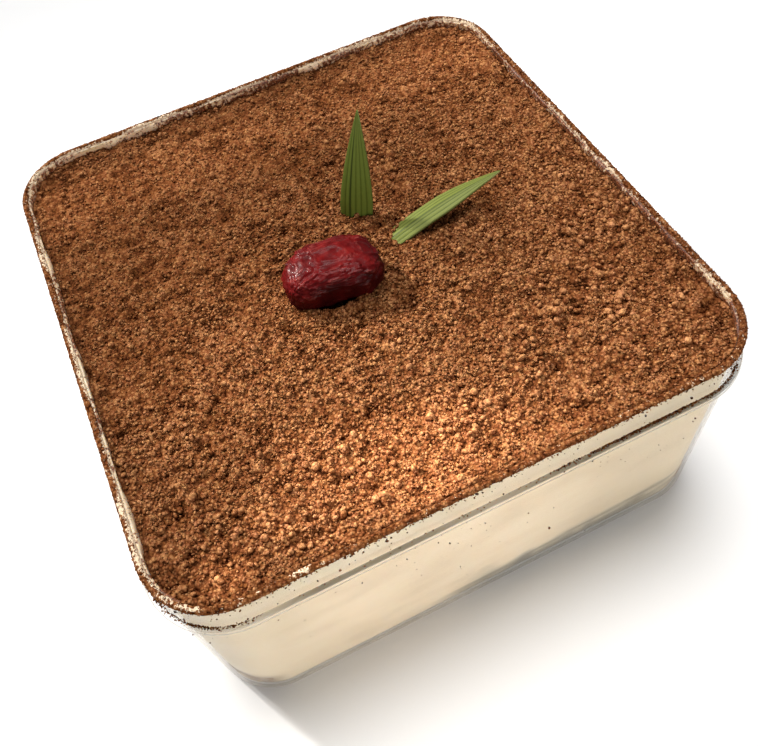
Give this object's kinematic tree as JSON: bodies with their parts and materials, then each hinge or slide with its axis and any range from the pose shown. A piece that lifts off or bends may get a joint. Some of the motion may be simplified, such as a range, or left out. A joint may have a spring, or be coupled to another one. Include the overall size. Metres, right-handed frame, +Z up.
{
  "type": "tiramisu portion in a clear square tub",
  "caption": "Tiramisu in a clear square tub: cocoa-dusted cream over soaked sponge, topped with a dried fruit and leaf blades.",
  "frame": {"origin": "middle of the tub's base, on the surface that it stands on", "axes": "+Z up; -Y the wall that faces the viewer; +X to that viewer's right"},
  "size_m": [0.102, 0.104, 0.0671],
  "materials": {
    "clear_plastic": "clear thin moulded plastic, glossy, slightly scuffed",
    "soaked_sponge": "wet porous sponge biscuit",
    "mascarpone_cream": "smooth whipped cream, soft satin",
    "cocoa_powder": "dry sifted cocoa powder, fine grains",
    "dried_fruit": "wrinkled glossy skin of a dried fruit",
    "green_leaf": "fresh leaf blade with parallel veins"
  },
  "bodies": {
    "root": {"tub": "clear_plastic", "sponge": "soaked_sponge", "cream": "mascarpone_cream", "cocoa": "cocoa_powder", "fruit": "dried_fruit", "leaf_upright": "green_leaf", "leaf_leaning": "green_leaf"}
  },
  "joints": []
}
